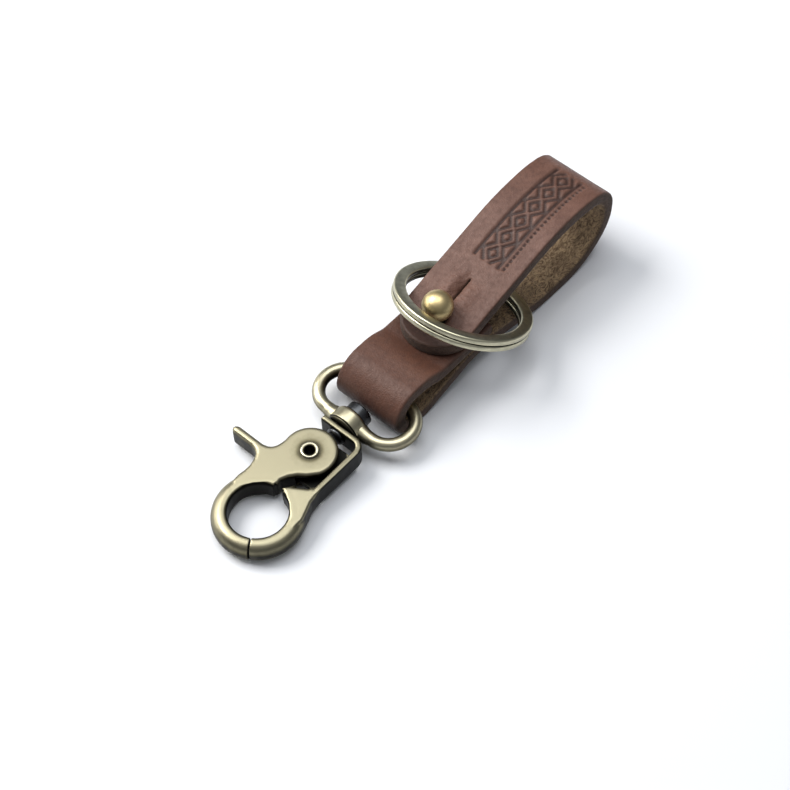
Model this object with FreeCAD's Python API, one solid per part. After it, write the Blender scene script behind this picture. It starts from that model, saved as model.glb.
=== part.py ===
# Leather belt-loop keychain with a ball stud, a split key ring and a swivel trigger snap.
# Millimetres, +Z up. The keychain lies on its belly: the hook points to -X, the belt loop to +X.
# Lengths along X are stations from the front of the strap's fold; save() moves the origin
# to the middle of the footprint.
import math
import os

import FreeCAD
import Part

V = FreeCAD.Vector

# Driving dimensions
footprint_mid = V(11.863, 0.097, 0.0)   # middle of the whole footprint, from the fold station

strap_width = 17.4
leather = 3.2                 # strap thickness
tail_end_x = 28.5             # cut end of the tail that the stud clamps
tail_z = 9.15                 # middle of the tail's leather at the stud

stud_x = 20.3
ball_radius = 3.5
ball_z = 18.2
neck_radius = 1.7
stud_flange_radius = 3.5
stud_flange_height = 0.8
screw_radius = 1.25
screw_head_radius = 3.6
screw_head_height = 1.3
screw_seat_z = 4.2
buttonhole_radius = 2.3
slit_width = 0.7
slit_end_x = 32.2
tip_x = 12.6                  # rounded end of the flap
layer_gap = 0.12              # between the flap and the tail that it lies on

ring_centre = V(26.88, -1.48, 13.3)
ring_outer = 15.8
ring_inner = 13.0
ring_thick = 2.8              # two turns of flat wire
turn_gap = 0.06
ring_tilt = 27.0
ring_roll = 1.4
ring_ramp = 20.0              # degrees over which one turn climbs to the next

wire_radius = 1.5             # swivel eye
eye_y = 0.3                   # swivel axis, off the strap's centreline
bar_x = 3.5
eye_mid_x = -2.2
eye_end_y = 6.3               # from the swivel axis to the centre of each end
boss_radius = 4.1
boss_back_x = -6.35
boss_front_x = -10.4
bar_gap = 0.2                 # under the bar

run_gap = 0.05                # radial clearance of every running fit
face_gap = 0.1                # beside a part that turns

swivel_radius = 1.6
swivel_head_radius = 3.0
swivel_head_length = 2.3
swivel_peen_radius = 2.2
swivel_peen_length = 0.9

hook_half = 2.6               # half the casting's thickness
bridge_thick = 1.4
bridge_top_y = 4.7
side_y = -7.35                # outer face of the side plate
corner_radius = 3.0
pivot = V(-19.4, 0.9, 0)
disc_radius = 6.1
cheek = 1.1                   # thickness of each cheek of the gate
tang_thick = 1.25
tang_radius = 5.7
jaw_centre = V(-36.9, -0.6, 0)
jaw_inner = 6.4
jaw_outer = 10.0
jaw_round = 1.3
split_angle = 212.0           # where the gate's tip meets the fixed jaw, round the jaw's centre
split_gap = 0.12
lever_top_y = 17.5
lever_left_x = -26.3
lever_thick = 1.95

pivot_bore = 1.05
pivot_radius = 1.7
pivot_flange_radius = 2.0
pivot_flange = 0.35

spring_radius = 2.55
spring_wire = 0.27
spring_turns = 2              # close wound

half = leather / 2
bar = V(bar_x, eye_y, leather + wire_radius + bar_gap)
nose_reach = bar.x - jaw_centre.x + jaw_outer - jaw_round
tilt = -math.degrees(math.asin((bar.z - hook_half) / nose_reach))
bridge_x = boss_front_x - face_gap


# Helpers
def save(shape, name):
    moved = shape.copy()
    moved.translate(-footprint_mid)
    moved.exportStep("parts/" + name + ".step")


def cylinder(radius, start, end):
    axis = end - start
    return Part.makeCylinder(radius, axis.Length, start, axis)


def box(low, high):
    return Part.makeBox(high.x - low.x, high.y - low.y, high.z - low.z, low)


def turned(point, angle, radius):
    a = math.radians(angle)
    return point + V(radius * math.cos(a), radius * math.sin(a), 0)


def plate(points, low_z, high_z):
    wire = Part.makePolygon([V(p.x, p.y, low_z) for p in points + points[:1]])
    return Part.Face(wire).extrude(V(0, 0, high_z - low_z))


def sector(centre, reach, start, stop, low_z, high_z):
    tool = Part.makeCylinder(reach, high_z - low_z, V(0, 0, 0), V(0, 0, 1), stop - start)
    tool.rotate(V(0, 0, 0), V(0, 0, 1), start)
    tool.translate(V(centre.x, centre.y, low_z))
    return tool


def hang(shape):
    """Tip an eye or hook piece, built level with the bar's axis at z = 0, on to the floor."""
    placed = shape.copy()
    placed.translate(V(0, 0, bar.z))
    placed.rotate(bar, V(0, 1, 0), tilt)
    return placed


# Leather strap
# Each leg of a route is a straight length, or an arc's radius with its turn in degrees
# (plus turns left). The heading is measured in the XZ plane from +X.
strap_route = [
    (15.3, 0),
    (6.0, -22),
    (1.5, 0),
    (10.0, 22),
    (2.16, 0),
    (5.0, 90),
    (4.277, 90),
    (3.5, 0),
    (7.0, 17),
    (11.3, 0),
    (14.0, -17),
    (2.0, 0),
    (14.0, -12),
    (16.731, 0),
    (20.0, 12),
    (6.27, 0),
    (16.0, 45),
    (9.0, 45),
    (0.5, 0),
]
flap_route = [
    (0.9, 0),
    (6.8, 75),
    (25.0, 15),
    (50.0, 16.5),
    (23.282, 0),
    (8.0, -16.5),
]


def walk(route, start, heading, side):
    """Edges of the line that keeps a distance to the left of the route."""
    edges = []
    place = start
    for size, turn in route:
        ahead = V(math.cos(heading), 0, math.sin(heading))
        left = V(-ahead.z, 0, ahead.x)
        if turn == 0:
            goal = place + ahead * size
            edges.append(Part.makeLine(place + left * side, goal + left * side))
        else:
            sense = math.copysign(1, turn)
            centre = place + left * (size * sense)
            arm = -left * sense
            reach = size - side * sense
            spots = []
            for part in (0, 0.5, 1):
                swing = math.radians(turn * part)
                spots.append(centre + V(arm.x * math.cos(swing) - arm.z * math.sin(swing), 0,
                                        arm.x * math.sin(swing) + arm.z * math.cos(swing)) * reach)
            edges.append(Part.Arc(*spots).toShape())
            goal = centre + (spots[2] - centre) * (size / reach)
            heading += math.radians(turn)
        place = goal
    return edges, place, heading


def band(route, start, heading):
    """A strap of leather along the route, with the end of its middle line and its heading."""
    upper, end, last = walk(route, start, heading, half)
    lower, end, last = walk(route, start, heading, -half)
    caps = [Part.makeLine(upper[0].firstVertex().Point, lower[0].firstVertex().Point)]
    tip = [upper[-1], lower[-1]]
    ends = [max(e.Vertexes, key=lambda v: v.Point.distanceToPoint(end) < half * 1.01).Point for e in tip]
    caps.append(Part.makeLine(*ends))
    wire = Part.Wire(Part.__sortEdges__(upper + lower + caps))
    solid = Part.Face(wire).extrude(V(0, strap_width, 0))
    solid.translate(V(0, -strap_width / 2, 0))
    return solid, end, last


def rounded_tip(solid):
    """Cut the flap's end to a half round about its own width."""
    radius = strap_width / 2
    centre = V(tip_x + radius, 0, 0)
    corner = box(V(tip_x - 20, -strap_width, 0), V(centre.x, strap_width, 30))
    corner = corner.cut(Part.makeCylinder(radius, 30, V(centre.x, 0, 0)))
    return solid.cut(corner)


def make_strap():
    base, end, heading = band(strap_route, V(tail_end_x, 0, tail_z), math.pi)
    flap, flap_end, last = band(flap_route + [(20.0, 0)], end, heading)
    flap = rounded_tip(flap)
    print("far end of the strap", end + V(half, 0, 0) - footprint_mid)

    base = base.cut(cylinder(screw_radius, V(stud_x, 0, 0), V(stud_x, 0, 30)))
    seat_z = tail_z + half - stud_flange_height
    base = base.cut(cylinder(stud_flange_radius, V(stud_x, 0, seat_z), V(stud_x, 0, seat_z + 5)))
    base = base.cut(cylinder(screw_head_radius, V(stud_x, 0, screw_seat_z - 5), V(stud_x, 0, screw_seat_z)))

    flap = flap.cut(cylinder(buttonhole_radius, V(stud_x, 0, 5), V(stud_x, 0, 30)))
    flap = flap.cut(box(V(stud_x, -slit_width / 2, 5), V(slit_end_x, slit_width / 2, 30)))
    save(base, "strap")
    save(flap, "strap_flap")


# Ball stud and its screw
def make_stud():
    foot = tail_z + half - stud_flange_height
    head = Part.makeSphere(ball_radius, V(stud_x, 0, ball_z))
    head = head.fuse(cylinder(neck_radius, V(stud_x, 0, foot), V(stud_x, 0, ball_z)))
    head = head.fuse(cylinder(stud_flange_radius, V(stud_x, 0, foot), V(stud_x, 0, foot + stud_flange_height)))
    screw_end = ball_z - ball_radius / 2
    head = head.cut(cylinder(screw_radius, V(stud_x, 0, foot), V(stud_x, 0, screw_end)))
    save(head.removeSplitter(), "stud_head")

    low = screw_seat_z - screw_head_height
    screw = cylinder(screw_head_radius, V(stud_x, 0, low), V(stud_x, 0, screw_seat_z))
    screw = screw.makeFillet(0.5, [e for e in screw.Edges if abs(e.BoundBox.ZMax - low) < 0.01])
    screw = screw.fuse(cylinder(screw_radius, V(stud_x, 0, screw_seat_z), V(stud_x, 0, screw_end - 0.3)))
    slot = box(V(stud_x - screw_head_radius, -0.4, low), V(stud_x + screw_head_radius, 0.4, low + 0.6))
    save(screw.cut(slot), "stud_screw")


# Split key ring
def ring_turn(low, high, start, stop):
    turn = Part.makeCylinder(ring_outer, high - low, V(0, 0, low), V(0, 0, 1), stop - start)
    turn = turn.cut(Part.makeCylinder(ring_inner, high - low, V(0, 0, low)))
    turn.rotate(V(0, 0, 0), V(0, 0, 1), start)
    return turn


def make_ring():
    half_ring = ring_thick / 2
    lower = ring_turn(-half_ring, -turn_gap, ring_ramp + 2, 360)
    upper = ring_turn(turn_gap, half_ring, ring_ramp, 358)
    sections = []
    for angle, low, high in ((-0.01, -half_ring, -turn_gap), (ring_ramp + 0.01, turn_gap, half_ring)):
        corners = [(ring_inner, low), (ring_outer, low), (ring_outer, high), (ring_inner, high)]
        points = [turned(V(0, 0, 0), angle, r) + V(0, 0, z) for r, z in corners]
        sections.append(Part.makePolygon(points + points[:1]))
    ramp = Part.makeLoft(sections, True, True)
    ring = lower.fuse([ramp, upper])
    ring.rotate(V(0, 0, 0), V(0, 0, 1), 12)
    ring.rotate(V(0, 0, 0), V(0, 1, 0), ring_tilt)
    ring.rotate(V(0, 0, 0), V(1, 0, 0), -ring_roll)
    ring.translate(ring_centre)
    lean = math.radians(ring_tilt)
    back = ring_centre + V(math.cos(lean), 0, -math.sin(lean)) * ((ring_inner + ring_outer) / 2)
    print("ring's back", back - footprint_mid)
    save(ring, "split_ring")


# Swivel eye and its rivet, level with the bar's axis
def bent_wire(centre, start, stop, reach):
    profile = Part.Wire(Part.Circle(turned(centre, start, reach),
                                    V(-math.sin(math.radians(start)), math.cos(math.radians(start)), 0),
                                    wire_radius).toShape())
    return Part.Face(profile).revolve(centre, V(0, 0, 1), stop - start)


def make_eye():
    reach = bar_x - eye_mid_x
    front_x = eye_mid_x - reach
    near = V(eye_mid_x, eye_y - eye_end_y, 0)
    far = V(eye_mid_x, eye_y + eye_end_y, 0)
    eye = bent_wire(far, 0, 180, reach)
    eye = eye.fuse([
        bent_wire(near, 180, 360, reach),
        cylinder(wire_radius, V(bar_x, near.y, 0), V(bar_x, far.y, 0)),
        cylinder(wire_radius, V(front_x, near.y, 0), V(front_x, far.y, 0)),
        cylinder(boss_radius, V(boss_front_x, eye_y, 0), V(boss_back_x, eye_y, 0)),
    ])
    bore = swivel_radius + run_gap
    eye = eye.cut(cylinder(bore, V(boss_front_x - 5, eye_y, 0), V(boss_back_x + 1, eye_y, 0)))
    save(hang(eye), "swivel_eye")

    head_x = boss_back_x + run_gap
    peen_x = bridge_x - bridge_thick
    rivet = cylinder(swivel_head_radius, V(head_x, eye_y, 0), V(head_x + swivel_head_length, eye_y, 0))
    rim = [e for e in rivet.Edges if abs(e.BoundBox.XMin - head_x - swivel_head_length) < 0.01]
    rivet = rivet.makeFillet(1.0, rim)
    rivet = rivet.fuse([
        cylinder(swivel_radius, V(peen_x, eye_y, 0), V(head_x, eye_y, 0)),
        cylinder(swivel_peen_radius, V(peen_x - swivel_peen_length, eye_y, 0), V(peen_x, eye_y, 0)),
    ])
    save(hang(rivet), "swivel_rivet")
    print("bar", bar - footprint_mid, "tilt", tilt)


# Trigger snap, level with the bar's axis
def jaw_arc(start, stop):
    """Part of the round jaw, its section a rectangle with round corners."""
    r0, r1, h, c = jaw_inner, jaw_outer, hook_half, jaw_round
    k = c * (1 - math.sqrt(0.5))

    def spot(radius, z):
        return turned(jaw_centre, start, radius) + V(0, 0, z)

    edges = []
    corners = [((r1, h - c), (r1 - k, h - k), (r1 - c, h)), ((r0 + c, h), (r0 + k, h - k), (r0, h - c)),
               ((r0, c - h), (r0 + k, k - h), (r0 + c, -h)), ((r1 - c, -h), (r1 - k, k - h), (r1, c - h))]
    for i, corner in enumerate(corners):
        edges.append(Part.Arc(*[spot(*p) for p in corner]).toShape())
        edges.append(Part.makeLine(spot(*corner[2]), spot(*corners[(i + 1) % 4][0])))
    profile = Part.Face(Part.Wire(edges))
    return profile.revolve(jaw_centre, V(0, 0, 1), stop - start)


def hole_tool():
    return Part.makeCylinder(jaw_inner, 20, jaw_centre - V(0, 0, 10))


def make_body():
    h = hook_half
    jaw = jaw_arc(split_angle, 352)
    shoulder = plate([V(-33, -9.4, 0), V(-27.4, -7.35, 0), V(-25.2, -7.35, 0), V(-25.2, -5.95, 0),
                      V(-26.8, -5.4, 0), V(-28.5, -1.9, 0), V(-29.8, -0.8, 0), V(-31.2, -2.0, 0)], -h, h)
    side = box(V(-26, side_y, -h), V(bridge_x - corner_radius, side_y + bridge_thick, h))
    bridge = box(V(bridge_x - bridge_thick, side_y + corner_radius, -h), V(bridge_x, bridge_top_y, h))
    corner_at = V(bridge_x - corner_radius, side_y + corner_radius, 0)
    bend = sector(corner_at, corner_radius, 270, 360, -h, h)
    bend = bend.cut(Part.makeCylinder(corner_radius - bridge_thick, 2 * h, corner_at - V(0, 0, h)))

    tang_low = cheek - h + face_gap
    tang_high = tang_low + tang_thick
    tang = Part.makeCylinder(tang_radius, tang_thick, V(pivot.x, pivot.y, tang_low))
    tang = tang.fuse(box(V(pivot.x - tang_radius, side_y + 0.5, tang_low),
                         V(pivot.x + tang_radius, pivot.y, tang_high)))

    body = jaw.fuse([shoulder.cut(hole_tool()), side, bridge, bend, tang])
    body = body.cut([
        cylinder(pivot_radius, pivot - V(0, 0, 5), pivot + V(0, 0, 5)),
        cylinder(swivel_radius, V(bridge_x - 3, eye_y, 0), V(bridge_x + 1, eye_y, 0)),
    ])
    save(hang(body.removeSplitter()), "hook_body")


def make_gate():
    h = hook_half
    jaw = jaw_arc(14, split_angle - math.degrees(split_gap / jaw_outer))
    neck = plate([V(-31.0, 1.9, 0), V(-29.7, 0.7, 0), V(-28.4, 0.8, 0), V(-25.2, -0.9, 0), V(-19.4, -3.5, 0),
                  V(-19.4, 7.0, 0), V(-21.2, 7.2, 0), V(-23.0, 7.7, 0), V(-24.1, 8.8, 0), V(-26.4, 9.6, 0),
                  V(-27.2, 8.9, 0), V(-28.7, 8.6, 0), V(-31.0, 8.4, 0), V(-34.5, 8.3, 0), V(-33.5, 5.0, 0)],
                 -h, h)
    disc = Part.makeCylinder(disc_radius, 2 * h, V(pivot.x, pivot.y, -h))
    right = lever_left_x + lever_thick
    lever = plate([V(lever_left_x, 8.5, 0), V(right, 8.0, 0), V(right, lever_top_y - 0.4, 0),
                   V(right - 0.4, lever_top_y, 0), V(lever_left_x + 0.5, lever_top_y, 0),
                   V(lever_left_x, lever_top_y - 0.5, 0)], -h, h)
    gate = jaw.fuse([neck.cut(hole_tool()), disc, lever])
    slot_reach = disc_radius + 0.6
    gate = gate.cut([
        Part.makeCylinder(slot_reach, 2 * (h - cheek), V(pivot.x, pivot.y, cheek - h)),
        cylinder(pivot_radius + run_gap, pivot - V(0, 0, 5), pivot + V(0, 0, 5)),
    ])
    save(hang(gate.removeSplitter()), "gate_lever")
    print("pivot", hang(Part.Vertex(pivot)).Point - footprint_mid)


def make_pivot():
    top = hook_half + face_gap / 2
    rivet = cylinder(pivot_radius, pivot - V(0, 0, top), pivot + V(0, 0, top))
    for sense in (1, -1):
        rim = pivot + V(0, 0, sense * top)
        rivet = rivet.fuse(cylinder(pivot_flange_radius, rim, rim + V(0, 0, sense * pivot_flange)))
    rivet = rivet.cut(cylinder(pivot_bore, pivot - V(0, 0, 5), pivot + V(0, 0, 5)))
    save(hang(rivet.removeSplitter()), "pivot_rivet")


def make_spring():
    """A torsion spring on the pivot, beside the tang, with a leg against the gate's web."""
    low = cheek - hook_half + face_gap + tang_thick + 0.12 + spring_wire
    pitch = 1.7 * spring_wire
    top = pitch * (spring_turns - 1)
    coils = [Part.makeTorus(spring_radius, spring_wire, V(0, 0, pitch * i)) for i in range(spring_turns)]
    leg = cylinder(spring_wire, V(spring_radius, 0, top), V(spring_radius, 3.6, top))
    foot = cylinder(spring_wire, V(spring_radius, 0, 0), V(spring_radius, -3.6, 0))
    spring = coils[0].fuse(coils[1:] + [leg, foot])
    spring.rotate(V(0, 0, 0), V(0, 0, 1), 200)
    spring.translate(V(pivot.x, pivot.y, low))
    save(hang(spring), "gate_spring")


os.makedirs("parts", exist_ok=True)
make_strap()
make_stud()
make_ring()
make_eye()
make_body()
make_gate()
make_pivot()
make_spring()
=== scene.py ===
import bpy
import bmesh
import math
from mathutils import Matrix, Vector, noise


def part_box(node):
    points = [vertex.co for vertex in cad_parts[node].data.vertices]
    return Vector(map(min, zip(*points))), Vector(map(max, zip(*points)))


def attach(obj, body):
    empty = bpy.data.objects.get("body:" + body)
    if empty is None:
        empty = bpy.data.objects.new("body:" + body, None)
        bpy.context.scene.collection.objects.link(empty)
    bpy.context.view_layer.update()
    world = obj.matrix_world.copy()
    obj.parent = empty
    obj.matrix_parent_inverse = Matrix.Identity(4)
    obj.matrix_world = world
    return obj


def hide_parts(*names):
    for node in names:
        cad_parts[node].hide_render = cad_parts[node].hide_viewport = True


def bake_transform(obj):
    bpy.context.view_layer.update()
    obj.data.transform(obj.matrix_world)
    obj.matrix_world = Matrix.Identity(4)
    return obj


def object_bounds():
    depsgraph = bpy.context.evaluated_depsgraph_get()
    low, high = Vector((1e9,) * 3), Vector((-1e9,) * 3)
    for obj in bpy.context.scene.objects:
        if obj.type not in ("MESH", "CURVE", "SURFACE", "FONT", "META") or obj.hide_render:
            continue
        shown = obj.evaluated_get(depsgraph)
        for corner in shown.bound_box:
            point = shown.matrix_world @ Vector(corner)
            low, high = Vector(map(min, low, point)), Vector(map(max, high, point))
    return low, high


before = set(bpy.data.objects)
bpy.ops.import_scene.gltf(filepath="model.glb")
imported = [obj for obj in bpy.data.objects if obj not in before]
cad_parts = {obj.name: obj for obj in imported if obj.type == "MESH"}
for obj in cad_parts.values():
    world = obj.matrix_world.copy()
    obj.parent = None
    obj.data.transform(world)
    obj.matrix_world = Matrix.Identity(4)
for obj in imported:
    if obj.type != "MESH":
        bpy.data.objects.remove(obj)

cadLow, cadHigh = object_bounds()
mm = 0.001
strapLow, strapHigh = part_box("strap")
foldFront = -2.9445          # station of the fold's outer front, in millimetres
station0 = Vector((strapLow[0] - foldFront * mm, (strapLow[1] + strapHigh[1]) / 2, 0))


def at(x, y, z):
    return station0 + Vector((x, y, z)) * mm


# Mesh helpers
def smoothFaces(mesh):
    for polygon in mesh.polygons:
        polygon.use_smooth = True


def toObject(name, bm):
    mesh = bpy.data.meshes.new(name)
    bm.to_mesh(mesh)
    bm.free()
    smoothFaces(mesh)
    obj = bpy.data.objects.new(name, mesh)
    bpy.context.scene.collection.objects.link(obj)
    return obj


def applyAll(obj):  # the modifiers become the mesh
    graph = bpy.context.evaluated_depsgraph_get()
    mesh = bpy.data.meshes.new_from_object(obj.evaluated_get(graph))
    obj.modifiers.clear()
    obj.data = mesh
    return obj


def cutAway(obj, tool):  # takes the tool's shape out of the object
    cutter = toObject("cutter", tool)
    mod = obj.modifiers.new("cut", "BOOLEAN")
    mod.operation = "DIFFERENCE"
    mod.solver = "EXACT"
    mod.object = cutter
    applyAll(obj)
    bpy.data.objects.remove(cutter)


def join(whole, part):  # adds the part's faces to the whole
    mesh = bpy.data.meshes.new("part")
    part.to_mesh(mesh)
    part.free()
    whole.from_mesh(mesh)
    bpy.data.meshes.remove(mesh)


def move(bm, shift, degrees=0, axis="Z"):  # turns about the origin, then shifts
    turn = Matrix.Rotation(math.radians(degrees), 3, axis)
    bmesh.ops.rotate(bm, cent=(0, 0, 0), matrix=turn, verts=bm.verts)
    bmesh.ops.translate(bm, vec=shift, verts=bm.verts)


def block(low, high):
    bm = bmesh.new()
    bmesh.ops.create_cube(bm, size=1)
    low, high = Vector(low), Vector(high)
    bmesh.ops.scale(bm, vec=high - low, verts=bm.verts)
    bmesh.ops.translate(bm, vec=(low + high) / 2, verts=bm.verts)
    return bm


def lathe(profile, steps=64):  # spins (along, radius) points round X
    bm = bmesh.new()
    verts = [bm.verts.new((x, 0, r)) for x, r in profile]
    edges = [bm.edges.new(pair) for pair in zip(verts, verts[1:])]
    bmesh.ops.spin(bm, geom=verts + edges, cent=(0, 0, 0), axis=(1, 0, 0), angle=2 * math.pi,
                   steps=steps, use_merge=True)
    bmesh.ops.remove_doubles(bm, verts=bm.verts, dist=1e-4)
    bmesh.ops.recalc_face_normals(bm, faces=bm.faces)
    return bm


def rounded(points, radii):  # softens the corners of an open profile of (along, radius)
    steps = 5
    out = [points[0]]
    for i in range(1, len(points) - 1):
        corner = Vector(points[i])
        before, after = Vector(points[i - 1]), Vector(points[i + 1])
        r = radii[i - 1]
        if r == 0:
            out.append(points[i])
            continue
        start = corner + (before - corner).normalized() * r
        end = corner + (after - corner).normalized() * r
        for k in range(steps + 1):
            t = k / steps
            out.append(tuple(start * (1 - t) ** 2 + corner * 2 * t * (1 - t) + end * t ** 2))
    out.append(points[-1])
    return out


def smoothStep(low, high, value):
    t = min(1, max(0, (value - low) / (high - low)))
    return t * t * (3 - 2 * t)


# Shader helpers
def fillRamp(ramp, stops):
    while len(ramp.elements) < len(stops):
        ramp.elements.new(0.5)
    for element, (spot, colour) in zip(ramp.elements, stops):
        element.position = spot
        element.color = (*colour, 1)


class Sock:  # a socket in a Python expression, which adds its Math nodes
    def __init__(self, nodes, socket):
        self.nodes = nodes
        self.socket = socket

    def maths(self, operation, first, second):
        return self.nodes.add("ShaderNodeMath", dict(operation=operation), first, second)[0]

    def __add__(self, other):
        return self.maths("ADD", self, other)

    def __radd__(self, other):
        return self.maths("ADD", other, self)

    def __sub__(self, other):
        return self.maths("SUBTRACT", self, other)

    def __rsub__(self, other):
        return self.maths("SUBTRACT", other, self)

    def __mul__(self, other):
        return self.maths("MULTIPLY", self, other)

    def __rmul__(self, other):
        return self.maths("MULTIPLY", other, self)


class Nodes:  # a material with its node tree
    def __init__(self, name):
        self.material = bpy.data.materials.new(name)
        self.material.use_nodes = True
        self.tree = self.material.node_tree
        self.shader = self.tree.nodes["Principled BSDF"]

    def add(self, kind, settings=None, *values, **named):
        node = self.tree.nodes.new(kind)
        for key, value in (settings or {}).items():
            if key == "stops":
                fillRamp(node.color_ramp, value)
            else:
                setattr(node, key, value)
        for index, value in enumerate(values):
            self.feed(node.inputs[index], value)
        for key, value in named.items():
            self.feed(node.inputs[key.replace("_", " ")], value)
        return [Sock(self, out) for out in node.outputs]

    def feed(self, socket, value):
        if isinstance(value, Sock):
            self.tree.links.new(value.socket, socket)
        else:
            socket.default_value = value

    def set(self, **named):
        for key, value in named.items():
            self.feed(self.shader.inputs[key.replace("_", " ")], value)

    def place(self, scale=(1, 1, 1)):
        spot = self.add("ShaderNodeTexCoord")[3]
        return self.add("ShaderNodeMapping", None, spot, Scale=scale)[0]

    def noise(self, where, scale, detail, rough):
        return self.add("ShaderNodeTexNoise", None, Vector=where, Scale=scale, Detail=detail,
                        Roughness=rough)[0]

    def range(self, value, low, high, to=(0, 1)):
        return self.add("ShaderNodeMapRange", None, Value=value, From_Min=low, From_Max=high,
                        To_Min=to[0], To_Max=to[1])[0]

    def blend(self, factor, first, second):
        node = self.tree.nodes.new("ShaderNodeMix")
        node.data_type = "RGBA"
        self.feed(node.inputs[0], factor)
        for index, value in ((6, first), (7, second)):
            self.feed(node.inputs[index], value if isinstance(value, Sock) else (*value, 1))
        return Sock(self, node.outputs[2])

    def attribute(self, name):
        return self.add("ShaderNodeAttribute", dict(attribute_name=name))[2]

    def bump(self, height, strength, depth):
        return self.add("ShaderNodeBump", None, Strength=strength, Distance=depth, Height=height)[0]


# Leather
# The fold's grain, then a greyer, paler copy of it that paints sheen on the flap, which faces the light; the
# deep colour also serves for painted shade
leatherLook = dict(
    foldGrain=(0.069, 0.0235, 0.0120), foldGrainPale=(0.092, 0.037, 0.0215), paintedLightTone=(0.100, 0.043, 0.028),
    paintedLightTonePale=(0.138, 0.065, 0.045), deep=(0.019, 0.0065, 0.0042), flesh=(0.400, 0.282, 0.165),
    fleshDark=(0.055, 0.032, 0.016), edge=(0.034, 0.016, 0.009), edgePale=(0.070, 0.038, 0.022),
)


def makeLeather():
    look = leatherLook
    n = Nodes("leather")
    where = n.place()
    side = n.attribute("side")          # 1 on the grain, 0 on the flesh side
    rim = n.attribute("rim")            # 1 on the cut edges
    pressed = n.attribute("pressed")    # 1 in the bottom of the pressed ornament
    aged = n.attribute("aged")          # painted sheen: 1 on the flap, which is given a greyer colour than the fold as it faces the light
    creased = n.attribute("creased")    # 1 beside the buttonhole's slit and in the bend of the loop: wrinkles on the grain, and painted shade on the flesh side
    burnished = n.attribute("burnished")    # painted shade: 1 where the grain is darkened, on the flap's tip for the ring's shadow and on the fold towards the floor
    cloud = n.noise(where, 150, 4, 0.6)
    mottle = n.noise(where, 900, 5, 0.65)
    pores = n.add("ShaderNodeTexVoronoi", dict(feature="DISTANCE_TO_EDGE"), Vector=where, Scale=1700)[0]
    spread = n.range(cloud, 0.30, 0.70)
    foldGrain = n.blend(spread, look["foldGrain"], look["foldGrainPale"])
    # painted sheen: the flap takes the greyer copy of the grain
    grain = n.blend(aged, foldGrain, n.blend(spread, look["paintedLightTone"], look["paintedLightTonePale"]))
    grain = n.blend(n.range(mottle, 0.42, 0.78) * 0.42, grain, look["deep"])
    # painted shade on the flap's tip and at the foot of the fold
    grain = n.blend(burnished * 0.78, grain, look["deep"])
    grain = n.blend(pressed * 0.85, grain, look["deep"])
    curl = n.add("ShaderNodeTexNoise", None, Vector=n.place((480, 760, 480)), Scale=1.0, Detail=6.0,
                 Roughness=0.72, Distortion=2.6)[0]
    fleshColour = n.blend(n.range(curl, 0.38, 0.64), look["fleshDark"], look["flesh"])
    fleshColour = n.blend(n.range(cloud, 0.35, 0.75) * 0.35, fleshColour, look["fleshDark"])
    # painted shade on the flesh side where it is creased, inside the loop's bend
    fleshColour = n.blend(creased * 0.72, fleshColour, look["fleshDark"])
    edgeColour = n.blend(n.range(mottle, 0.35, 0.70), look["edge"], look["edgePale"])
    colour = n.blend(side, fleshColour, grain)
    colour = n.blend(rim, colour, edgeColour)
    n.set(Base_Color=colour, Specular_IOR_Level=0.36, Sheen_Weight=0.04, Sheen_Roughness=0.5)
    rough = n.range(mottle, 0.3, 0.7, (0.46, 0.62))
    n.set(Roughness=rough * side * (1 - rim) + (1 - side * (1 - rim)) * 0.82)
    folds = n.noise(n.place((420, 900, 420)), 1, 5, 0.6)
    wrinkles = n.add("ShaderNodeTexNoise", None, Vector=n.place((1500, 520, 1500)), Scale=1.0, Detail=3.0,
                     Roughness=0.55, Distortion=1.2)[0]
    height = pores * 0.65 + mottle * 0.80 + folds * 0.75 + wrinkles * creased * 2.8
    n.set(Normal=n.bump(height * side + curl * 3.6 * (1 - side), 0.55, 0.00020))
    return n.material


def metal(name, bright, middle, dark, rough):  # its patina and painted shade go from bright on the rims to dark inside and on the walls
    n = Nodes(name)
    shade = n.attribute("patina")
    wear = n.noise(n.place(), 700, 4, 0.55)
    depth = shade + n.range(wear, 0.25, 0.75, (-0.07, 0.07))
    tone = n.add("ShaderNodeValToRGB", dict(stops=[(0.10, bright), (0.46, middle), (0.82, dark)]), depth)[0]
    n.set(Base_Color=tone, Metallic=1.0)
    n.set(Roughness=n.range(wear, 0.25, 0.75, (rough - 0.03, rough + 0.05)) + shade * 0.12)
    n.set(Normal=n.bump(wear, 0.05, 0.00005))
    return n.material


leather = makeLeather()
brass = metal("antiqueBrass", (0.246, 0.225, 0.152), (0.138, 0.124, 0.077), (0.010, 0.009, 0.007), 0.35)
# a brighter copy of the brass: painted highlights on the eye and its boss
eyeBrassLit = metal("eyeBrassLit", (0.43, 0.395, 0.275), (0.165, 0.150, 0.098), (0.011, 0.010, 0.008), 0.32)
bodyBrass = metal("bodyBrass", (0.255, 0.234, 0.158), (0.120, 0.110, 0.074), (0.009, 0.009, 0.008), 0.34)
ringBrass = metal("ringBrass", (0.56, 0.53, 0.38), (0.155, 0.155, 0.122), (0.016, 0.015, 0.012), 0.29)
studBrass = metal("studBrass", (0.54, 0.430, 0.225), (0.36, 0.275, 0.130), (0.016, 0.011, 0.007), 0.40)
paleBrass = metal("paleBrass", (0.48, 0.45, 0.34), (0.24, 0.22, 0.15), (0.014, 0.012, 0.010), 0.30)
gunmetal = metal("gunmetal", (0.070, 0.073, 0.077), (0.030, 0.031, 0.033), (0.008, 0.008, 0.008), 0.28)
springSteel = metal("springSteel", (0.30, 0.30, 0.29), (0.16, 0.16, 0.15), (0.03, 0.03, 0.03), 0.32)
print("materials made")


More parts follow.
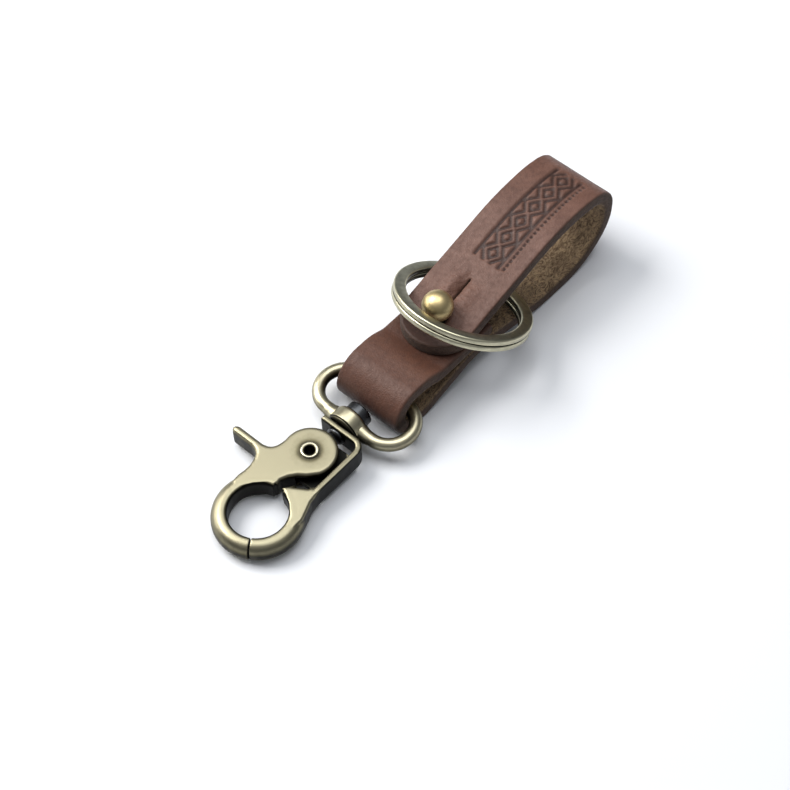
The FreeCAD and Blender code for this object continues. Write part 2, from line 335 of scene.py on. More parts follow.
# Strap
strap = dict(
    width=17.4, thick=3.2, tailEnd=28.5, tailZ=9.15, studX=20.3, tipX=12.6,
    edgeRound=0.55, holeRadius=2.15, slitWidth=0.22, slitEnd=31.4, rowStep=0.3,
)
half = strap["thick"] / 2
halfWidth = strap["width"] / 2
tailRoute = [
    (15.3, 0), (6.0, -22), (1.5, 0), (10.0, 22), (2.16, 0), (5.0, 90), (4.277, 90), (3.5, 0), (7.0, 17),
    (11.3, 0), (14.0, -17), (2.0, 0), (14.0, -12), (16.731, 0), (20.0, 12),
]
loopRoute = [
    (6.27, 0), (16.0, 45), (9.0, 45), (1.4, 0), (6.8, 75), (25.0, 15), (50.0, 16.5), (23.282, 0),
    (8.0, -16.5), (20.0, 0),
]


def follow(route, start, heading):  # finds the place and heading at a distance along the route
    legs = []
    place, s = Vector((start[0], start[1])), 0.0
    for size, turn in route:
        length = size if turn == 0 else abs(math.radians(turn)) * size
        legs.append((s, length, place.copy(), heading, size, turn))
        ahead = Vector((math.cos(heading), math.sin(heading)))
        if turn == 0:
            place = place + ahead * size
        else:
            sense = math.copysign(1, turn)
            centre = place + Vector((-ahead.y, ahead.x)) * size * sense
            place = centre + Matrix.Rotation(math.radians(turn), 2) @ (place - centre)
            heading += math.radians(turn)
        s += length

    def find(distance):
        for s0, length, spot, head, size, turn in legs:
            if distance <= s0 + length or s0 == legs[-1][0]:
                break
        travel = distance - s0
        ahead = Vector((math.cos(head), math.sin(head)))
        if turn == 0:
            return spot + ahead * travel, head
        sense = math.copysign(1, turn)
        swing = travel / size * sense
        centre = spot + Vector((-ahead.y, ahead.x)) * size * sense
        return centre + Matrix.Rotation(swing, 2) @ (spot - centre), head + swing

    return find, s, place, heading


def flatStrip(length, columns, tip):  # the leather laid out flat, its end a half round if it has the tip
    bm = bmesh.new()
    rows = int(length / strap["rowStep"])
    bmesh.ops.create_grid(bm, x_segments=rows, y_segments=columns, size=0.5)
    r = halfWidth
    for v in bm.verts:
        u, w = v.co.x + 0.5, v.co.y * 2
        edgeward = 0.62 * w + 0.38 * math.sin(w * math.pi / 2)    # closer columns at the edges
        x = u * length
        wide = 1.0
        if tip:
            toTip = length - x
            if toTip < r:
                toTip = r * (1 - math.cos(math.pi / 2 * toTip / r))
                toTip = max(toTip, 0.012)
                x = length - toTip
                wide = math.sqrt(r * r - (r - toTip) ** 2) / r
        v.co = Vector((x, edgeward * r * wide, 0))
    bmesh.ops.recalc_face_normals(bm, faces=bm.faces)
    bmesh.ops.solidify(bm, geom=bm.verts[:] + bm.edges[:] + bm.faces[:], thickness=strap["thick"])
    low = min(v.co.z for v in bm.verts)
    bmesh.ops.translate(bm, vec=(0, 0, -half - low), verts=bm.verts)
    walls = [e for e in bm.edges if abs(e.verts[0].co.z - e.verts[1].co.z) > half]
    bmesh.ops.subdivide_edges(bm, edges=walls, cuts=5, use_grid_fill=True)
    bmesh.ops.recalc_face_normals(bm, faces=bm.faces)
    return bm


def outlineDistance(x, y, length, tip):  # how far a point of the strip is inside its outline
    r = halfWidth
    inside = r - abs(y)
    if tip and x > length - r:
        inside = r - math.hypot(x - (length - r), y)
    return inside


def roundOver(depth, distance):  # how far an edge's rounding lowers the face at a distance inside
    if distance >= depth:
        return 0.0
    return depth - math.sqrt(max(0.0, depth * depth - (depth - max(0.0, distance)) ** 2))


tailFind, tailLength, tailPlace, _ = follow(tailRoute, (strap["tailEnd"], strap["tailZ"]), math.pi)
loopFind, loopLength, loopEnd, _ = follow(loopRoute, tailPlace, 0)
loopLength -= strap["tipX"] - loopEnd.x


def stationAt(x):  # distance along the loop at which the flap passes over x
    low, high = loopLength * 0.32, loopLength
    for _ in range(40):
        middle = (low + high) / 2
        if loopFind(middle)[0].x > x:
            low = middle
        else:
            high = middle
    return low


studS = stationAt(strap["studX"])
slitS = stationAt(strap["slitEnd"])
ornament = dict(
    start=stationAt(64.3), end=stationAt(36.6), middle=-0.2, height=6.6, line=0.46, depth=0.46, diamonds=6,
)


def stroke(value, width):  # 1 in a pressed line, falling off at its sides
    return 1 - smoothStep(width * 0.5, width * 0.5 + 0.30, abs(value))


def pressedDepth(s, y):  # a border with a row of nested diamonds, and a row of beads below
    o = ornament
    if not o["start"] - 1 < s < o["end"] + 1 or abs(y - o["middle"]) > o["height"]:
        return 0.0
    v = y - o["middle"]
    inside = smoothStep(o["start"] - 0.4, o["start"], s) * (1 - smoothStep(o["end"], o["end"] + 0.4, s))
    pitch = (o["end"] - o["start"]) / o["diamonds"]
    along = ((s - o["start"]) / pitch) % 1 - 0.5
    reach = abs(along) * pitch * 0.62 + abs(v) * 0.80
    marks = max(stroke(reach - 2.2, o["line"]), stroke(reach - 0.95, o["line"]))
    marks = max(marks, stroke(abs(v) - o["height"] / 2, o["line"]))
    bead = ((s - o["start"]) / (pitch / 4)) % 1 - 0.5
    beadReach = math.hypot(bead * pitch / 4, v + o["height"] / 2 + 1.2)
    marks = max(marks, 1 - smoothStep(0.28, 0.52, beadReach))
    return marks * inside


def slitDistance(s, y):
    inSlit = min(max(s, slitS), studS)
    toSlit = math.hypot(s - inSlit, y) - strap["slitWidth"] / 2
    return min(toSlit, math.hypot(s - studS, y) - strap["holeRadius"])


def creaseAt(s, y):  # how much the leather beside the slit is creased
    along = smoothStep(slitS - 2.5, slitS + 2, s) * (1 - smoothStep(studS - 3, studS + 2, s))
    return along * math.exp(-(y / 4.6) ** 2)


def sculptFlap(s, y, z):  # puckered lips along the slit, slow waves and the pressed ornament
    along = smoothStep(slitS - 0.3, slitS + 2.6, s) * (1 - smoothStep(studS - 2.4, studS + 2.5, s))
    lips = 0.42 * math.exp(-((abs(y) - 2.3) / 1.7) ** 2)
    sink = 0.95 * math.exp(-(y / 1.45) ** 2) if y > 0 else 0.35 * math.exp(-(y / 0.5) ** 2)
    rise = along * (lips - (sink if z > 0 else 0))
    rise -= 0.35 * math.exp(-((s - slitS) / 1.3) ** 2 - ((y - 0.5) / 1.2) ** 2)
    wave = noise.noise(Vector((s * 0.45 + y * 0.4, y * 1.1 - s * 0.6, 3.1)))
    fineWave = noise.noise(Vector((s * 1.5 + y * 0.5, y * 0.9 - s * 0.7, 7.7)))
    rise += creaseAt(s, y) * (0.20 * wave + 0.16 * fineWave)
    rise += 0.11 * noise.noise(Vector((s * 0.09, y * 0.12, 1.0)))
    lowered = 0.0
    if z > 0:
        lowered = ornament["depth"] * pressedDepth(s, y)
    return rise, lowered


def leatherPiece(name, length, finder, columns, tip, sculpt, holes=()):  # a strip bent along its route
    bm = flatStrip(length, columns, tip)
    obj = toObject(name, bm)
    for tool in holes:
        cutAway(obj, tool)
    bm = bmesh.new()
    bm.from_mesh(obj.data)
    side, rim, pressed, aged, creased, burnished = [
        bm.verts.layers.float.new(key) for key in ("side", "rim", "pressed", "aged", "creased", "burnished")]
    for v in bm.verts:
        s, y, z = v.co
        spot, heading = finder(s)
        inside = outlineDistance(s, y, length, tip)
        if holes:
            inside = min(inside, slitDistance(s, y) * 1.15)
        edge = roundOver(strap["edgeRound"], inside)
        face = min(1.0, abs(z) / half)
        flat = math.copysign(abs(z) - edge * face ** 3, z)
        rise, lowered = sculpt(s, y, z)
        v[side] = smoothStep(0.55, 0.98, z / half)
        v[rim] = (1 - smoothStep(0.0, 0.36, inside)) * 0.92 + 0.08 * (1 - smoothStep(0, 1.5, inside))
        v[pressed] = lowered / ornament["depth"]
        # painted sheen: the flap is given the greyer grain, the fold little of it
        v[aged] = 1.0 if tip else 0.12
        # wrinkles, and painted shade on the flesh side inside the loop's bend
        v[creased] = creaseAt(s, y) if tip else smoothStep(57, 66, spot.x)
        # painted shade: the fold darker towards the floor, and the flap's tip darker where the ring's shadow
        # falls
        low = smoothStep(10.5, 3.5, spot.y)
        v[burnished] = smoothStep(studS + 1.5, studS + 5, s) * 0.85 if tip else low
        bulge = 0.0
        if not (holes and slitDistance(s, y) < 0.3) and inside < 0.02:
            bulge = -0.10 * (z / half) ** 2
        level = -(flat + rise - lowered)       # the grain is on the right of the route
        x = spot.x - math.sin(heading) * level
        up = spot.y + math.cos(heading) * level
        v.co = at(x, y * (1 + bulge / halfWidth), up)
    bmesh.ops.recalc_face_normals(bm, faces=bm.faces)
    bm.to_mesh(obj.data)
    bm.free()
    smoothFaces(obj.data)
    obj.data.materials.append(leather)
    return obj


def buttonhole():
    hole = lathe([(-3, 0), (-3, strap["holeRadius"]), (3, strap["holeRadius"]), (3, 0)], 40)
    move(hole, (studS, 0, 0), 90, "Y")
    w = strap["slitWidth"] / 2
    return [hole, block((slitS, -w, -3), (studS, w, 3))]


def tailSculpt(s, y, z):  # slow waves of a worn strap, and the dent that the stud's foot makes
    fromStud = math.hypot(s - (strap["tailEnd"] - strap["studX"]), y)
    dent = -0.12 * math.exp(-((fromStud - 4.6) / 1.6) ** 2)
    ends = smoothStep(0, 6, tailLength - s)
    return dent * (1 if s < 20 else 0) + 0.10 * ends * noise.noise(Vector((s * 0.1, y * 0.14, 5.0))), 0.0


tail = leatherPiece("tail_and_belly", tailLength, tailFind, 46, False, tailSculpt)
flap = leatherPiece("loop_and_flap", loopLength, loopFind, 58, True, sculptFlap, buttonhole())
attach(tail, "strap")
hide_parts("strap")
# The skin bends from strap to flap over the end of the loop. The two planes lean, so that the
# flat of the flap lies past the second one.
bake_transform(flap)
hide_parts("strap_flap")
print("strap made")


# Metal pieces: each is built level, in millimetres, then put in its place
hook = dict(barX=3.5, axisY=0.3, wire=1.5, barGap=0.2, half=2.6, jawX=-36.9, jawY=-0.6, jawIn=6.4,
            jawOut=10.0, jawRound=1.3, faceGap=0.1, runGap=0.05)
barZ = strap["thick"] + hook["wire"] + hook["barGap"]
bar = Vector((hook["barX"], hook["axisY"], barZ))
noseReach = hook["barX"] - hook["jawX"] + hook["jawOut"] - hook["jawRound"]
hookTilt = -math.asin((barZ - hook["half"]) / noseReach)


def onHook(co):  # level hook coordinates, with z = 0 at the bar's axis, to the lying keychain
    level = Vector((co.x - bar.x, co.y - bar.y, co.z))
    return at(*(bar + Matrix.Rotation(hookTilt, 3, "Y") @ level))


def addPatinaAndShade(bm, strength, up, extra):  # painted shade darkens the walls as they turn from up; patina darkens the hollows and wear brightens the rims
    layer = bm.verts.layers.float.new("patina")
    bm.normal_update()
    values = {}
    for v in bm.verts:
        bend = 0.0
        for e in v.link_edges:
            other = e.other_vert(v)
            step = other.co - v.co
            if step.length_squared > 0:
                bend += (other.normal - v.normal).dot(step) / step.length_squared
        bend /= max(1, len(v.link_edges))
        # painted shade: walls darker the further they turn from up
        shade = 1 - abs(v.normal.dot(up))
        value = strength * smoothStep(0.12, 1.0, shade) - 0.22 * max(-0.6, min(1.0, bend * 0.6))
        if extra:
            value += extra(v.co, v.normal)
        values[v] = value
    for v, value in values.items():
        around = [values[e.other_vert(v)] for e in v.link_edges]
        v[layer] = max(0.0, min(1.0, 0.5 * value + 0.5 * sum(around) / max(1, len(around))))


def finish(obj, material, body, nodes, place, strength=0.8, up=Vector((0, 0, 1)), extra=None):
    bm = bmesh.new()
    bm.from_mesh(obj.data)
    bmesh.ops.remove_doubles(bm, verts=bm.verts, dist=1e-5)
    addPatinaAndShade(bm, strength, up, extra)
    for v in bm.verts:
        v.co = place(v.co)
    bm.to_mesh(obj.data)
    bm.free()
    obj.data.materials.clear()
    obj.data.materials.append(material)
    smoothFaces(obj.data)
    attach(obj, body)
    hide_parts(*nodes)


def cast(name, parts, voxel, relax):  # one casting out of overlapping closed shapes
    whole = bmesh.new()
    for part in parts:
        join(whole, part)
    obj = toObject(name, whole)
    remesh = obj.modifiers.new("remesh", "REMESH")
    remesh.mode = "VOXEL"
    remesh.voxel_size = voxel
    relaxing = obj.modifiers.new("relax", "SMOOTH")
    relaxing.factor = 0.5
    relaxing.iterations = relax
    return applyAll(obj)


def slab(points, low, high, soft):  # an outline with thickness and softened rims
    bm = bmesh.new()
    face = bm.faces.new([bm.verts.new((x, y, low)) for x, y in points])
    made = bmesh.ops.extrude_face_region(bm, geom=[face])
    tops = [v for v in made["geom"] if isinstance(v, bmesh.types.BMVert)]
    bmesh.ops.translate(bm, vec=(0, 0, high - low), verts=tops)
    bmesh.ops.recalc_face_normals(bm, faces=bm.faces)
    rims = [e for e in bm.edges if abs(e.verts[0].co.z - e.verts[1].co.z) < 1e-6]
    if soft:
        bmesh.ops.bevel(bm, geom=rims, offset=soft, segments=3, profile=0.5, affect="EDGES", material=-1)
    return bm


def arcPoints(cx, cy, radius, start, stop, count):
    turns = [math.radians(start + (stop - start) * i / count) for i in range(count + 1)]
    return [(cx + radius * math.cos(t), cy + radius * math.sin(t)) for t in turns]


def rod(radius, start, end, steps=32):
    start, end = Vector(start), Vector(end)
    length = (end - start).length
    bm = lathe([(0, 0), (0, radius), (length, radius), (length, 0)], steps)
    turn = Vector((1, 0, 0)).rotation_difference(end - start).to_matrix()
    bmesh.ops.rotate(bm, cent=(0, 0, 0), matrix=turn, verts=bm.verts)
    bmesh.ops.translate(bm, vec=start, verts=bm.verts)
    return bm


def sweepRound(profile, centre, start, stop, steps, rise=0.0):  # profile of (radius, z) spun round Z
    bm = bmesh.new()
    cx, cy = centre
    t = math.radians(start)
    verts = [bm.verts.new((cx + r * math.cos(t), cy + r * math.sin(t), z)) for r, z in profile]
    face = bm.faces.new(verts)
    bmesh.ops.spin(bm, geom=[face], cent=(cx, cy, 0), axis=(0, 0, 1), angle=math.radians(stop - start),
                   steps=steps, dvec=(0, 0, rise / steps))
    bmesh.ops.recalc_face_normals(bm, faces=bm.faces)
    return bm


def roundBox(r0, r1, z0, z1, corner):  # rounded rectangle of (radius, z) points
    points = []
    for cx, cz, first in ((r1, z1, 0), (r0, z1, 90), (r0, z0, 180), (r1, z0, 270)):
        x = cx - math.copysign(corner, cx - (r0 + r1) / 2)
        z = cz - math.copysign(corner, cz - (z0 + z1) / 2)
        points += arcPoints(x, z, corner, first, first + 90, 4)
    return points


# Split key ring
ring = dict(outer=15.8, inner=13.0, thick=2.8, gap=0.05, corner=0.42, tilt=27.0, roll=1.4, ramp=20,
            endGap=1.5, centre=(26.88, -1.48, 13.3), turned=12, steps=170, rampSteps=14)


def onRing(co):
    turn = Matrix.Rotation(math.radians(-ring["roll"]), 3, "X") \
        @ Matrix.Rotation(math.radians(ring["tilt"]), 3, "Y") \
        @ Matrix.Rotation(math.radians(ring["turned"]), 3, "Z")
    return at(*(Vector(ring["centre"]) + turn @ co))


def makeRing():
    top = ring["thick"] / 2
    lower = roundBox(ring["inner"], ring["outer"], -top, -ring["gap"], ring["corner"])
    upper = [(r, z + top + ring["gap"]) for r, z in lower]
    rise = top + ring["gap"]
    bm = sweepRound(lower, (0, 0), ring["ramp"] + ring["endGap"], 360, ring["steps"])
    join(bm, sweepRound(lower, (0, 0), 0, ring["ramp"], ring["rampSteps"], rise))
    join(bm, sweepRound(upper, (0, 0), ring["ramp"], 360 - ring["endGap"], ring["steps"]))
    caps = {}
    for f in bm.faces:
        if len(f.verts) > 4:
            spot = f.calc_center_median()
            caps.setdefault((round(spot.x, 1), round(spot.y, 1), round(spot.z, 1)), []).append(f)
    doubles = [f for group in caps.values() if len(group) > 1 for f in group]    # where lengths meet
    bmesh.ops.delete(bm, geom=doubles, context="FACES_ONLY")
    bmesh.ops.remove_doubles(bm, verts=bm.verts, dist=1e-4)
    bmesh.ops.recalc_face_normals(bm, faces=bm.faces)
    obj = toObject("split_key_ring", bm)
    middle = (ring["inner"] + ring["outer"]) / 2

    def paintedLightTone(co, normal):  # painted shade: dark on the inner walls, in the groove between the turns and on the flat faces, so the outer rim stays bright
        reach = math.hypot(co.x, co.y)
        seam = math.exp(-(abs(co.z) / 0.16) ** 2) * 0.75
        flat = 0.42 * smoothStep(0.80, 0.97, abs(normal.z))
        return seam + flat + (0.45 if reach < middle and abs(normal.z) < 0.6 else 0.0)

    finish(obj, ringBrass, "key_ring", ["split_ring"], onRing, 0.34, extra=paintedLightTone)


makeRing()


# Swivel eye with its boss
eye = dict(midX=-2.2, endY=6.3, wire=1.5, bossRadius=4.1, bossBack=-6.35, bossFront=-10.4)


def makeEye():
    reach = hook["barX"] - eye["midX"]
    y0 = hook["axisY"]
    frontX = eye["midX"] - reach
    nearY, farY = y0 - eye["endY"], y0 + eye["endY"]
    circle = arcPoints(reach, 0, eye["wire"], 0, 337.5, 15)
    overlap = 0.3
    parts = [
        sweepRound(circle, (eye["midX"], farY), -3, 183, 48),
        sweepRound(circle, (eye["midX"], nearY), 177, 363, 48),
    ]
    for x in (hook["barX"], frontX):
        parts.append(rod(eye["wire"], (x, nearY - overlap, 0), (x, farY + overlap, 0)))
    for sense in (-1, 1):  # the wire swells into the boss
        swell = lathe([(0, 0), (0, 2.3), (2.2, 1.7), (3.6, 1.45), (3.6, 0)], 32)
        move(swell, (frontX - 0.15, y0 + 2.6 * sense, 0), 90 * sense)
        parts.append(swell)
    obj = cast("swivel_eye_loop", parts, 0.16, 5)
    front, back, r = eye["bossFront"], eye["bossBack"], eye["bossRadius"]
    cutAway(obj, rod(r - 0.4, (front - 1, y0, 0), (back + 1, y0, 0), 48))
    profile = [(front, 1.65), (front, r - 0.55), (front + 0.3, r - 0.25), (front + 0.55, r - 0.25),
               (front + 0.7, r), (back - 0.55, r), (back, r - 0.5), (back, 1.65), (front, 1.65)]
    boss = lathe(rounded(profile, [0.15, 0.1, 0.1, 0.12, 0.45, 0.2, 0]), 72)
    move(boss, (0, y0, 0))
    drum = toObject("swivel_boss", boss)

    # painted shade on the inner side of the eye's loop
    def loopInnerShade(co, normal):
        inLoop = co.x > frontX and abs(co.x) < 9
        inward = -(normal.x * (co.x - 0.5) + normal.y * (co.y - y0)) / 10
        return 0.55 * max(0.0, inward) if inLoop else 0.0

    def drumShade(co, normal):
        frontRim = smoothStep(front + 0.85, front + 0.6, co.x)
        backRim = smoothStep(back - 0.5, back - 0.2, co.x)
        return 0.8 * frontRim + 0.8 * backRim

    finish(obj, eyeBrassLit, "eye", ["swivel_eye"], onHook, 0.62, extra=loopInnerShade)
    finish(drum, eyeBrassLit, "eye", ["swivel_eye"], onHook, 0.30, extra=drumShade)


makeEye()


swivel = dict(radius=1.6, grip=1.4, head=3.0, headLength=2.3, peen=2.2, peenLength=0.9)


def makeSwivelRivet():
    r = swivel["radius"]
    head = eye["bossBack"] + hook["runGap"]
    headEnd = head + swivel["headLength"]
    peen = eye["bossFront"] - hook["faceGap"] - swivel["grip"]
    peenEnd = peen - swivel["peenLength"]
    profile = [(peenEnd, 0), (peenEnd, 1.7), (peen - 0.45, swivel["peen"]), (peen, swivel["peen"]), (peen, r),
               (head, r), (head, swivel["head"]), (headEnd, swivel["head"]), (headEnd, 0)]
    bm = lathe(rounded(profile, [0.25, 0.2, 0, 0, 0, 0.15, 0.4]), 64)
    move(bm, (0, hook["axisY"], 0))
    obj = toObject("swivel_rivet_head", bm)
    finish(obj, gunmetal, "hook", ["swivel_rivet"], onHook, 0.3)


makeSwivelRivet()


# Trigger snap
body = dict(bridgeX=-10.5, wall=1.4, bridgeTop=4.7, sideY=-7.35, corner=3.0, split=212.0, shoulder=352,
            tang=5.7, tangThick=1.25)
gate = dict(pivotX=-19.4, pivotY=0.9, disc=6.1, cheek=1.1, leverX=-26.3, leverThick=1.95, leverTop=17.5)
pivot = dict(radius=1.7, flange=2.0, bore=1.05)
spring = dict(coil=2.55, wire=0.26, seat=0.27, gap=0.12, climb=0.95, turned=200)


def jawProfile():  # crowned outside, with a crisper rim round the hole
    h, r0, r1 = hook["half"], hook["jawIn"], hook["jawOut"]
    points = arcPoints(r1 - 2.3, h - 2.3, 2.3, 0, 90, 8) + arcPoints(r0 + 0.9, h - 0.9, 0.9, 90, 180, 5)
    lower = [(r, -z) for r, z in reversed(points)]
    return points + lower


def jawSpin(start, stop, steps):
    return sweepRound(jawProfile(), (hook["jawX"], hook["jawY"]), start, stop, steps)


def recessPaintedShade(co, normal):  # painted shade: blacker on the walls of the hole, in the slot, where the jaws meet and round the pivot
    toJaw = Vector((hook["jawX"] - co.x, hook["jawY"] - co.y, 0))
    fromSplit = math.degrees(math.atan2(-toJaw.y, -toJaw.x)) % 360 - body["split"] + 0.8
    value = 0.75 * math.exp(-(fromSplit / 1.5) ** 2)
    if toJaw.length < hook["jawIn"] + 0.9:
        value += 0.75 * smoothStep(0.2, 0.8, normal.dot(toJaw.normalized()))
    toPivot = math.hypot(co.x - gate["pivotX"], co.y - gate["pivotY"])
    # painted shade of the dished face round the pivot
    dish = 0.50 * smoothStep(3.4, 2.2, toPivot) + 0.20 * smoothStep(5.9, 3.0, toPivot)
    value += dish * smoothStep(0.5, 0.9, abs(normal.z))
    if abs(co.z) < hook["half"] - gate["cheek"] + 0.15 and toPivot < gate["disc"] + 1.5:
        value += 0.7
    return value


def makeBody():
    h, w = hook["half"], body["wall"]
    bx, sy, c = body["bridgeX"], body["sideY"], body["corner"]
    shoulder = [(-35.6, -9.3), (-32.6, -9.3), (-30.6, -8.6), (-28.3, -7.7), (-25.6, -7.35), (-25.4, -5.6),
                (-26.3, -5.0), (-27.6, -3.0), (-28.6, -1.5), (-29.6, -0.7), (-30.2, -1.0), (-29.7, -2.2),
                (-30.6, -4.6), (-32.6, -6.6), (-35.6, -8.3)]
    side = [(-26.6, sy), (bx - c, sy)] + arcPoints(bx - c, sy + c, c, 270, 360, 8) + \
        [(bx, body["bridgeTop"]), (bx - w, body["bridgeTop"])] + \
        arcPoints(bx - c, sy + c, c - w, 360, 270, 8) + [(-26.6, sy + w)]
    low = gate["cheek"] - h + hook["faceGap"]
    px, py = gate["pivotX"], gate["pivotY"]
    r = body["tang"]
    tang = arcPoints(px, py, r, 0, 180, 30) + [(px - r, sy + 0.5), (px + r, sy + 0.5)]
    parts = [jawSpin(body["split"], body["shoulder"], 60), slab(shoulder, -h, h, 0.7),
             slab(side, -h, h, 0.45), slab(tang, low, low + body["tangThick"], 0)]
    obj = cast("hook_body_casting", parts, 0.15, 9)
    cutAway(obj, rod(pivot["radius"], (px, py, -5), (px, py, 5)))
    cutAway(obj, rod(swivel["radius"], (bx - 3, hook["axisY"], 0), (bx + 1, hook["axisY"], 0)))

    def framePaintedShade(co, normal):  # painted shade on the walls of the bridge and the side plate, which are also darker all over than the jaw
        plateShade = 0.30 * smoothStep(-27.5, -23.5, co.x) * smoothStep(0.95, 0.6, abs(normal.z))
        return recessPaintedShade(co, normal) + plateShade + 0.34 * smoothStep(-27.5, -23.5, co.x)

    finish(obj, bodyBrass, "hook", ["hook_body"], onHook, 0.80, extra=framePaintedShade)


def makeGate():
    h = hook["half"]
    px, py = gate["pivotX"], gate["pivotY"]
    lx, top = gate["leverX"], gate["leverTop"]
    right = lx + gate["leverThick"]
    outline = arcPoints(px, py, gate["disc"], -118, 100, 40)
    outline += [(-21.6, 7.05), (-22.6, 7.3), (-23.4, 7.75), (-24.0, 8.5), (right, 9.6), (right, top - 0.9)]
    outline += [(right - 0.5, top - 0.1), (lx + 0.7, top), (lx, top - 0.7), (lx, 11.2), (lx - 0.25, 10.2)]
    outline += [(-27.2, 9.3), (-28.4, 8.7), (-30.0, 8.35), (-31.6, 8.35), (-33.2, 8.6), (-35.0, 8.5)]
    outline += [(-37.0, 7.5), (-36.8, 6.9), (-34.4, 6.45), (-32.3, 5.1), (-30.6, 2.9), (-29.9, 0.75)]
    outline += [(-29.4, 0.6), (-28.5, 0.8), (-27.0, 0.1), (-25.4, -1.2), (-24.3, -2.7)]
    tip = body["split"] - 1.8
    parts = [jawSpin(14, tip, 70), slab(outline, -h, h, 0.75)]
    obj = cast("gate_casting", parts, 0.15, 12)
    reach = gate["disc"] + 0.6
    inner = h - gate["cheek"]
    slot = rod(reach, (px, py, -inner), (px, py, inner), 72)
    cutAway(obj, slot)
    cutAway(obj, rod(pivot["radius"] + hook["runGap"], (px, py, -5), (px, py, 5)))
    finish(obj, brass, "gate", ["gate_lever"], onHook, 0.80, extra=recessPaintedShade)


makeBody()
makeGate()


def makePivotRivet():
    top = hook["half"] + hook["faceGap"] / 2
    flange = pivot["flange"]
    rim = [(top, pivot["radius"]), (top, flange), (top + 0.22, flange), (top + 0.4, 1.75), (top + 0.15, 1.1)]
    outer = [(-x, r) for x, r in reversed(rim)] + rim
    bore = [(top - 0.3, pivot["bore"]), (-top + 0.3, pivot["bore"])]
    bm = lathe(outer + bore + outer[:1], 64)
    move(bm, (gate["pivotX"], gate["pivotY"], 0), -90, "Y")
    obj = toObject("pivot_rivet_tube", bm)

    def boreShade(co, normal):
        reach = math.hypot(co.x - gate["pivotX"], co.y - gate["pivotY"])
        return smoothStep(1.5, 1.15, reach)

    finish(obj, paleBrass, "hook", ["pivot_rivet"], onHook, 0.4, extra=boreShade)


def makeSpring():
    overTang = gate["cheek"] - hook["half"] + hook["faceGap"] + body["tangThick"]
    low = overTang + spring["gap"] + spring["seat"]
    r, wire, top = spring["coil"], spring["wire"], spring["climb"]
    coil = sweepRound(arcPoints(r, 0, wire, 0, 315, 7), (0, 0), 0, 700, 110, top)
    join(coil, rod(wire, (r, 0, 0), (r, -3.6, 0), 12))
    join(coil, rod(wire, (2.4, -0.85, top), (3.4, 2.7, top), 12))
    move(coil, (gate["pivotX"], gate["pivotY"], low), spring["turned"])
    obj = toObject("gate_torsion_spring", coil)
    finish(obj, springSteel, "hook", ["gate_spring"], onHook, 0.3)


makePivotRivet()
makeSpring()
print("snap made")


# Ball stud and its screw
stud = dict(x=20.3, ball=3.5, ballZ=18.2, neck=1.7, foot=3.5, footHeight=0.8, seat=4.2, screw=1.25,
            screwTop=16.1, head=3.6, headHeight=1.3)


def standing(co):  # lathe pieces stand up at the stud: their X is the keychain's Z
    return at(stud["x"] - co.z, co.y, co.x)


def makeStud():
    foot = strap["tailZ"] + half - stud["footHeight"]
    top = foot + stud["footHeight"]
    r = stud["ball"]
    ballTurn = 180 - math.degrees(math.asin(stud["neck"] / r))    # from the neck to the top
    ball = []
    for i in range(37):
        a = math.radians(ballTurn - ballTurn * i / 36)
        ball.append((stud["ballZ"] + r * math.cos(a) * 0.985, r * math.sin(a)))
    ball[-1] = (ball[-1][0], 0)
    profile = [(foot, 0), (foot, 3.3), (foot + 0.2, stud["foot"]), (top - 0.25, stud["foot"]), (top, 3.2),
               (top, 2.1), (top + 0.25, stud["neck"])]
    obj = toObject("ball_stud", lathe(profile + ball, 72))

    # painted shade: the stud darker towards its foot, below the middle of the ball
    def low(co, normal):
        return 0.75 * smoothStep(stud["ballZ"] - 1.2, stud["ballZ"] - 3.2, co.x)

    finish(obj, studBrass, "strap", ["stud_head"], standing, 0.30, Vector((1, 0, 0)), low)


def makeScrew():
    seat, top, head, shank = stud["seat"], stud["screwTop"], stud["head"], stud["screw"]
    low = seat - stud["headHeight"]
    profile = [(low, 0), (low, 3.0), (low + 0.45, head), (seat, head), (seat, shank), (top, shank), (top, 0)]
    obj = toObject("stud_screw_head", lathe(rounded(profile, [0.3, 0.25, 0, 0, 0.1]), 64))
    cutAway(obj, block((low - 1, -4, -0.4), (low + 0.55, 4, 0.4)))
    finish(obj, studBrass, "strap", ["stud_screw"], standing, 0.45, Vector((1, 0, 0)))


makeStud()
makeScrew()
print("stud made")


# Floor, light and camera
def makeFloor():
    bm = bmesh.new()
    bmesh.ops.create_grid(bm, x_segments=8, y_segments=8, size=3.0)
    bmesh.ops.translate(bm, vec=(0, 0, min(0.0, cadLow[2]) - 0.00005), verts=bm.verts)
    floor = toObject("floor", bm)
    n = Nodes("paper")
    n.set(Base_Color=(0.72, 0.735, 0.765, 1), Roughness=0.9, Specular_IOR_Level=0.1)
    floor.data.materials.append(n.material)


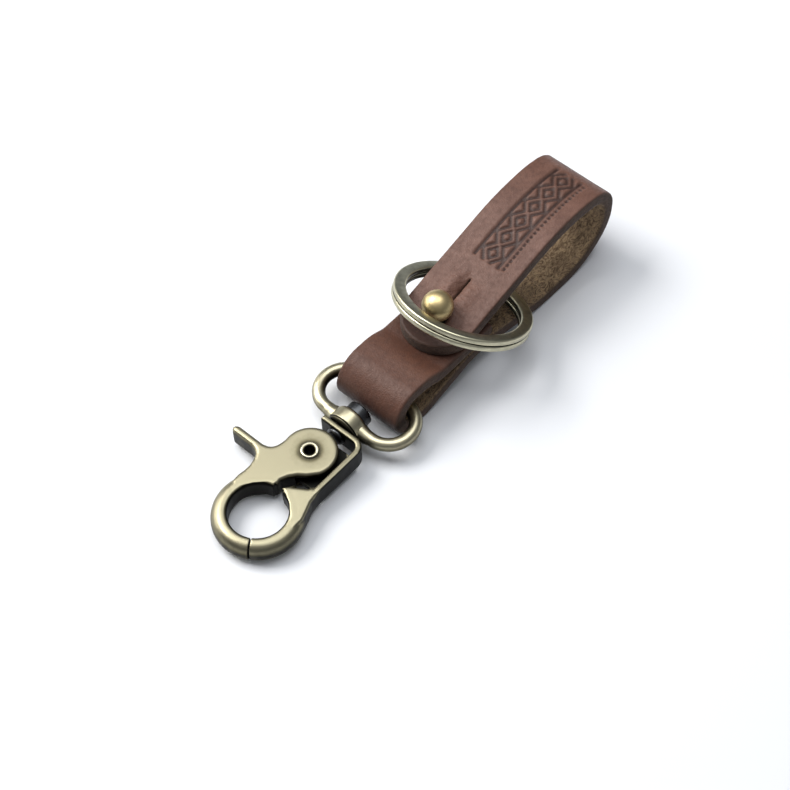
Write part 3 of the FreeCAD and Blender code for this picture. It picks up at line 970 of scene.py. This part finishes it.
def areaLight(name, place, aim, size, power, colour):
    data = bpy.data.lights.new(name, "AREA")
    data.shape = "RECTANGLE"
    data.size, data.size_y = size
    data.energy = power
    data.color = colour
    lamp = bpy.data.objects.new(name, data)
    lamp.location = place
    lamp.rotation_euler = (Vector(aim) - Vector(place)).to_track_quat("-Z", "Y").to_euler()
    bpy.context.scene.collection.objects.link(lamp)


def makeWorld():
    world = bpy.data.worlds.new("studio")
    world.use_nodes = True
    tree = world.node_tree
    coord = tree.nodes.new("ShaderNodeTexCoord")
    split = tree.nodes.new("ShaderNodeSeparateXYZ")
    ramp = tree.nodes.new("ShaderNodeValToRGB")
    fillRamp(ramp.color_ramp, [(0.0, (0.80, 0.83, 0.88)), (0.30, (0.20, 0.21, 0.23)),
                               (0.62, (0.46, 0.48, 0.52)), (1.0, (1.0, 1.0, 1.0))])
    tree.links.new(coord.outputs["Generated"], split.inputs[0])
    tree.links.new(split.outputs[2], ramp.inputs[0])
    tree.links.new(ramp.outputs[0], tree.nodes["Background"].inputs[0])
    tree.nodes["Background"].inputs[1].default_value = 0.55
    bpy.context.scene.world = world


def makeCamera():
    azimuth, elevation, distance = math.radians(-48.66), math.radians(54.46), 0.450
    target = at(6.48, -0.05, 0)
    away = Vector((math.sin(azimuth) * math.cos(elevation), -math.cos(azimuth) * math.cos(elevation),
                   math.sin(elevation)))
    data = bpy.data.cameras.new("camera")
    data.lens = 94.34
    data.sensor_width = 36
    data.clip_start = 0.01
    camera = bpy.data.objects.new("camera", data)
    camera.location = target + away * distance
    camera.rotation_euler = (-away).to_track_quat("-Z", "Y").to_euler()
    bpy.context.scene.collection.objects.link(camera)
    bpy.context.scene.camera = camera


makeFloor()
areaLight("key", (-0.12, 0.42, 0.55), (0, 0, 0), (0.42, 0.30), 4.8, (1.0, 0.985, 0.96))
areaLight("top", (0.10, 0.05, 0.70), (0, 0, 0), (0.50, 0.50), 2.6, (0.96, 0.98, 1.0))
areaLight("low", (-0.22, 0.62, 0.24), (0, 0, 0), (0.55, 0.22), 2.0, (1.0, 0.98, 0.94))
makeWorld()
makeCamera()
bpy.context.scene.view_settings.view_transform = "Standard"
